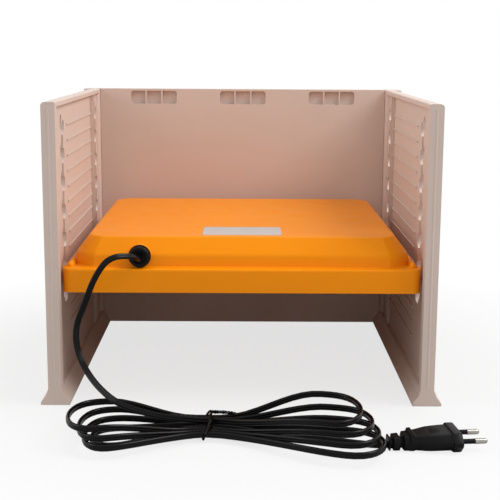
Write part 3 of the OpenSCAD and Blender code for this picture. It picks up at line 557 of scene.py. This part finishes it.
HEAD = (
    (-6.6, 33.8, 12.8, 23.0, 6.85), (-6.2, 34.9, 13.4, 23.8, 6.85), (-5.6, 35.3, 13.7, 24.2, 6.85),
    (-1.1, 35.3, 13.7, 24.2, 6.85), (-0.4, 34.8, 13.4, 23.8, 6.85), (0.0, 33.8, 12.7, 23.0, 6.85))
PLUG_SECTIONS = RELIEF + COLLAR + BODY + HEAD
PLUG_EDGE = 1.2
PLUG_ROUNDING = 1.1
GRIP_START = -19.5
GRIP_STEP = (1.5, 2.2)
GRIP_COUNT = (5, 4)
GRIP_SIDE = -0.5
GRIP_Z = 12.0
GRIP_DOT = ((0, 0.6), (0.35, 0.6), (0.6, 0.5), (0.75, 0.25))


def on_plug(along, across, height):
    """Place in metres of a point along the plug from its face, across it and above the floor."""
    c, s = math.cos(PLUG_TURN), math.sin(PLUG_TURN)
    return Vector((
        (PLUG_FACE[0] + along * c - across * s) * MM,
        FRONT_Y + (PLUG_FACE[1] + along * s + across * c) * MM, height * MM))


class HEATPLATE_OT_plug(bpy.types.Operator):
    """Mould the plug's body with its flat head, waist and ribbed cord relief"""

    bl_idname = "heatplate.plug"
    bl_label = "Mould plug"

    def execute(self, context):
        bm = bmesh.new()
        loft(bm, [self.section(*values) for values in PLUG_SECTIONS])
        step_along, step_across = GRIP_STEP
        columns, rows = GRIP_COUNT
        for column in range(columns):
            for row in range(rows):
                stagger = (column % 2) * step_across / 2
                across = (row - (rows - 1) / 2) * step_across + stagger + GRIP_SIDE
                self.grip_dot(bm, GRIP_START + step_along * column, across)
        black = moulded_polypropylene(
            "moulded_pvc_plug", context.scene.heatplate_finish.black, 0.42, 0.8, 0.3, BLACK_SHINE)
        plug = new_piece("plug_moulding", bm, ENCLOSURE, black, 24)
        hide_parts("plug_body")
        return {"FINISHED"}

    def section(self, along, width, height, flat, middle):
        """One section across the plug: flat top and bottom, sloping sides with a low upright edge."""
        quarter = [(flat / 2, height / 2), (width / 2, PLUG_EDGE)]
        half = quarter + [(x, -z) for x, z in reversed(quarter)]
        corners = [Vector(corner) for corner in half + [(-x, -z) for x, z in half]]
        ring = []
        for i, corner in enumerate(corners):
            after = corners[(i + 1) % len(corners)]
            ring += rounded(corners[i - 1], corner, after, PLUG_ROUNDING, 3)
        return [on_plug(along, point.x, middle + point.y) for point in ring]

    def grip_dot(self, bm, along, across):
        """Low round dot on the plug's flat top."""
        profile = [(x * MM, r * MM) for x, r in GRIP_DOT]
        turned(bm, on_plug(along, across, GRIP_Z), Vector((0, 0, 1)), profile, 12)


# Cover, in millimetres, but for the share of flat in the dome's creased corners
BAND_HEIGHT = 9.2
BAND_LEAN = 0.7
SLOPE_RUN = 10.8
TOP_RUN = 13.0
DOME_CORNER = 16.0
DOME_CORNER_NARROWS = 4.5
DOME_CORNER_FLAT = 0.5
LIP_CORNER = 6.0
BEAD_RADIUS = 3.2
BEAD_INSET = 5.0
BEAD_END = 11.0
STUD_BACKS = (50.0, 245.0)
GLAND_SEAT = ((0, 6.3), (0, 8.1), (0.15, 8.5), (0.5, 8.7), (11.4, 8.7), (11.4, 6.3))


class HEATPLATE_OT_cover(bpy.types.Operator):
    """Mould the plate's cover with its lip, dome, beads, gland seat and guide studs"""

    bl_idname = "heatplate.cover"
    bl_label = "Mould cover"

    def execute(self, context):
        sizes = context.scene.heatplate_cover
        middle = (BASE_LOW + BASE_HIGH) / 2
        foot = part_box("plate_cover")[0][2]
        width, depth, wall = sizes.width / MM, sizes.depth / MM, sizes.wall / MM
        lip, ledge = sizes.lip_height / MM, sizes.ledge / MM
        top = lip + sizes.dome_height / MM
        band = lip + BAND_HEIGHT
        profile = softened((
            (wall, 1.2, 0.0), (wall, 0.0, 0.5), (0.0, 0.0, 0.5), (0.0, lip, 2.4), (ledge, lip, 1.2),
            (ledge + BAND_LEAN, band, 2.2), (ledge + SLOPE_RUN, top, 1.6), (ledge + TOP_RUN, top, 0.0)))
        bm = bmesh.new()
        rings = []
        for inset, z in profile:
            # The lip's corners are round, and the dome's creased ones narrow up its slope
            on_dome = inset > ledge / 2 and z >= lip
            slope = max(z - band, 0.0) / (top - band)
            radius = DOME_CORNER - DOME_CORNER_NARROWS * slope if on_dome else LIP_CORNER - inset
            rings.append(plan_ring(
                (width - 2 * inset) * MM, (depth - 2 * inset) * MM, radius * MM, foot + z * MM, middle,
                DOME_CORNER_FLAT if on_dome else 0.0))
        loft(bm, rings, close_start=False)
        self.beads(bm, middle, foot, sizes)
        self.studs(bm, foot, sizes)
        gland = Vector(((GLAND_LOW.x + GLAND_HIGH.x) / 2, middle.y - sizes.depth / 2 + sizes.ledge,
                        (GLAND_LOW.z + GLAND_HIGH.z) / 2))
        turned(bm, gland, Vector((0, 1, 0)), [(x * MM, r * MM) for x, r in GLAND_SEAT], 48)
        orange = moulded_polypropylene(
            "moulded_orange_polypropylene", context.scene.heatplate_finish.cover, 0.34, 0.7, 0.4, 0.14)
        cover = new_piece("cover_moulding", bm, PLATE, orange, 14)
        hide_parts("plate_cover")
        return {"FINISHED"}

    def beads(self, bm, middle, foot, sizes):
        """Rounded bead along each side ledge."""
        run = sizes.depth / MM - 2 * BEAD_END
        turns = [math.radians(a) for a in range(6, 91, 12)]
        ball = [(BEAD_RADIUS * (1 - math.cos(a)), BEAD_RADIUS * math.sin(a)) for a in turns]
        profile = ball + [(run + 2 * BEAD_RADIUS - x, r) for x, r in reversed(ball)]
        for side in (-1, 1):
            start = Vector((
                middle.x + side * (sizes.width / 2 - BEAD_INSET * MM),
                middle.y - (run / 2 + BEAD_RADIUS) * MM, foot + sizes.lip_height))
            turned(bm, start, Vector((0, 1, 0)), [(x * MM, r * MM) for x, r in profile], 32)

    def studs(self, bm, foot, sizes):
        """Guide studs that reach into the side panels' tracks."""
        low, high = (Vector(corner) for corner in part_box("plate_cover"))
        reach = (high.x - low.x) / 2
        radius = sizes.stud_diameter / 2
        for side in (-1, 1):
            for back in STUD_BACKS:
                start = Vector((
                    side * (sizes.width / 2 - MM), FRONT_Y + back * MM, foot + sizes.lip_height / 2))
                length = reach - sizes.width / 2 + MM
                turned(bm, start, Vector((side, 0, 0)), [
                    (0, radius), (length - 0.9 * MM, radius), (length - 0.3 * MM, radius - 0.3 * MM),
                    (length, radius - 0.9 * MM)], 32)


class HEATPLATE_OT_finishes(bpy.types.Operator):
    """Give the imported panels, gland, label, pins and inner pieces their materials"""

    bl_idname = "heatplate.finishes"
    bl_label = "Apply finishes"

    def execute(self, context):
        colours = context.scene.heatplate_finish
        panel = moulded_polypropylene("moulded_beige_polypropylene", colours.panel, 0.5, 0.9, 0.4, 0.35)
        orange = bpy.data.materials["moulded_orange_polypropylene"]
        nylon = moulded_polypropylene("moulded_nylon_gland", colours.black, 0.4, 0.8, 0.35, BLACK_SHINE)
        sheath = bpy.data.materials["extruded_pvc_cord"]
        wearers = {
            panel: ("left_side_panel", "right_side_panel", "back_panel"),
            orange: ("plate_base",),
            nylon: ("gland_body", "gland_cap", "gland_nut", "cord_clamp", "pin_sleeves"),
            sheath: ("inner_cord",),
            soft_vinyl("moulded_rubber_seal", "0C0C0D"): ("gland_seal",),
            soft_vinyl("insulated_core", "6B3A22"): ("supply_wires", "heater_wires"),
            plated_metal("nickel_plated_brass", "A8A49E", 0.18): ("plug_pins",),
            plated_metal("zinc_plated_steel", "B9BABD", 0.34): (
                "base_screws", "inner_screws", "terminal_screws"),
            plated_metal("rolled_aluminium", "D6D7D9", 0.38): ("heat_spreader",),
            plated_metal("matte_label_foil", "D3D3D2", 0.46): ("rating_label",),
            plated_metal("bright_copper", "C77A4C", 0.3): ("film_electrodes",),
            soft_vinyl("carbon_film_laminate", "19191B"): ("heating_film",),
            needled_felt("needled_mineral_felt", "E8E4D6"): ("insulation_pad",),
            moulded_polypropylene("moulded_phenolic", "3A2A22", 0.3, 0.8, 0.2): ("thermal_cutout",),
            moulded_polypropylene("moulded_nylon_block", "E4E0D2", 0.45, 0.8, 0.3): ("terminal_block",),
        }
        for material, names in wearers.items():
            for name in names:
                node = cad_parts[name]
                node.data.materials.clear()
                node.data.materials.append(material)
        return {"FINISHED"}


# Lamps: name, place, target, size and power
LAMPS = (
    ("overhead_softbox", (-0.1, 0.1, 1.5), (0.0, 0.0, 0.0), 1.2, 1.5),
    ("right_softbox", (1.0, -0.25, 1.2), (0.0, 0.0, 0.1), 0.8, 16.0),
    ("left_softbox", (-1.1, -0.2, 0.7), (0.0, 0.0, 0.1), 0.8, 5.0),
)
WORLD_STRENGTH = 0.67
WHITE = (1.0, 1.0, 1.0, 1.0)
FLOOR_RADIUS = 6.0
FLOOR_DROP = 0.0002
# Distances between which the seen floor turns white, and its share of white near the object
FADE_NEAR = 0.2
FADE_FAR = 0.42
FADE_SHARE = 0.74


class HEATPLATE_OT_stage(bpy.types.Operator):
    """Set the pale floor, the soft lamps and the camera"""

    bl_idname = "heatplate.stage"
    bl_label = "Set stage"

    def execute(self, context):
        scene = context.scene
        scene.view_settings.view_transform = "Standard"
        self.camera(scene)
        self.floor(scene)
        self.world(scene)
        for lamp in LAMPS:
            self.lamp(scene, *lamp)
        return {"FINISHED"}

    def camera(self, scene):
        """Camera at the photograph's place, turned by yaw, pitch and roll."""
        stage = scene.heatplate_stage
        yaw, pitch, roll = stage.turn
        out = Vector((math.sin(yaw) * math.cos(pitch), math.cos(yaw) * math.cos(pitch), -math.sin(pitch)))
        right = Vector((math.cos(yaw), -math.sin(yaw), 0))
        up = right.cross(out)
        axis_x = right * math.cos(roll) + up * math.sin(roll)
        axis_y = up * math.cos(roll) - right * math.sin(roll)
        lens = bpy.data.cameras.new("camera")
        lens.lens = stage.lens
        lens.sensor_width = 36.0
        lens.clip_start = 0.05
        camera = bpy.data.objects.new("camera", lens)
        matrix = Matrix((axis_x, axis_y, -out)).transposed().to_4x4()
        matrix.translation = Vector(stage.place) + Vector((0, FRONT_Y, 0))
        camera.matrix_world = matrix
        scene.collection.objects.link(camera)
        scene.camera = camera

    def floor(self, scene):
        """Wide pale floor that brightens to white away from the object."""
        bm = bmesh.new()
        bmesh.ops.create_circle(bm, cap_ends=True, radius=FLOOR_RADIUS, segments=64)
        mesh = bpy.data.meshes.new("floor")
        bm.to_mesh(mesh)
        bm.free()
        floor = bpy.data.objects.new("floor", mesh)
        floor.location.z = -FLOOR_DROP
        scene.collection.objects.link(floor)
        material, tree, shader = new_material("pale_paper_floor")
        shader.inputs["Base Color"].default_value = hex_colour(scene.heatplate_finish.floor)
        shader.inputs["Roughness"].default_value = 0.9
        shader.inputs["Specular IOR Level"].default_value = 0.1
        place = add(tree, "ShaderNodeTexCoord").outputs["Object"]
        span = add(tree, "ShaderNodeVectorMath", {0: place}, operation="LENGTH")
        fade = add(tree, "ShaderNodeMapRange", {
            "Value": span.outputs["Value"],
            "From Min": FADE_NEAR, "From Max": FADE_FAR, "To Min": FADE_SHARE})
        seen = add(tree, "ShaderNodeLightPath")
        share = add(tree, "ShaderNodeMath", {
            0: fade.outputs["Result"], 1: seen.outputs["Is Camera Ray"]}, operation="MULTIPLY")
        white = add(tree, "ShaderNodeEmission", {"Color": WHITE, "Strength": 1.0})
        mixed = add(tree, "ShaderNodeMixShader", {
            0: share.outputs["Value"], 1: shader.outputs["BSDF"], 2: white.outputs["Emission"]})
        tree.links.new(mixed.outputs["Shader"], tree.nodes["Material Output"].inputs["Surface"])
        mesh.materials.append(material)

    def world(self, scene):
        """Plain studio surround, white where it is seen directly or in reflections."""
        world = bpy.data.worlds.new("studio")
        world.use_nodes = True
        tree = world.node_tree
        soft = tree.nodes["Background"]
        soft.inputs["Color"].default_value = WHITE
        soft.inputs["Strength"].default_value = WORLD_STRENGTH
        seen = add(tree, "ShaderNodeLightPath")
        gloss = add(tree, "ShaderNodeMath", {
            0: seen.outputs["Is Camera Ray"], 1: seen.outputs["Is Glossy Ray"]}, operation="MAXIMUM")
        white = add(tree, "ShaderNodeBackground", {"Color": WHITE, "Strength": 1.0})
        mixed = add(tree, "ShaderNodeMixShader", {
            0: gloss.outputs["Value"], 1: soft.outputs["Background"], 2: white.outputs["Background"]})
        tree.links.new(mixed.outputs["Shader"], tree.nodes["World Output"].inputs["Surface"])
        scene.world = world

    def lamp(self, scene, name, place, target, size, power):
        """Square soft lamp at a place, aimed at a target."""
        light = bpy.data.lights.new(name, "AREA")
        light.size = size
        light.energy = power
        lamp = bpy.data.objects.new(name, light)
        lamp.location = place
        lamp.rotation_euler = (Vector(target) - Vector(place)).to_track_quat("-Z", "Y").to_euler()
        scene.collection.objects.link(lamp)


class HEATPLATE_PT_panel(bpy.types.Panel):
    """Lists the steps that dress the heat plate"""

    bl_label = "Heat plate"
    bl_idname = "HEATPLATE_PT_panel"
    bl_space_type = "VIEW_3D"
    bl_region_type = "UI"
    bl_category = "Heat plate"

    def draw(self, context):
        for step in STEPS:
            self.layout.operator(step.bl_idname)


GROUPS = {
    "heatplate_cover": CoverSizes,
    "heatplate_cord": CordSizes,
    "heatplate_finish": Finishes,
    "heatplate_stage": StageSizes,
}
STEPS = (
    HEATPLATE_OT_stage,
    HEATPLATE_OT_plug,
    HEATPLATE_OT_tie,
    HEATPLATE_OT_cord,
    HEATPLATE_OT_cover,
    HEATPLATE_OT_finishes,
)


def register():
    for group in GROUPS.values():
        bpy.utils.register_class(group)
    for name, group in GROUPS.items():
        setattr(bpy.types.Scene, name, PointerProperty(type=group))
    for step in STEPS:
        bpy.utils.register_class(step)
    bpy.utils.register_class(HEATPLATE_PT_panel)


def unregister():
    bpy.utils.unregister_class(HEATPLATE_PT_panel)
    for step in reversed(STEPS):
        bpy.utils.unregister_class(step)
    for name, group in reversed(GROUPS.items()):
        delattr(bpy.types.Scene, name)
        bpy.utils.unregister_class(group)


def main():
    register()
    bpy.ops.heatplate.stage()
    bpy.ops.heatplate.plug()
    bpy.ops.heatplate.tie()
    bpy.ops.heatplate.cord()
    bpy.ops.heatplate.cover()
    bpy.ops.heatplate.finishes()
    bpy.context.view_layer.update()


if __name__ == "__main__":
    main()
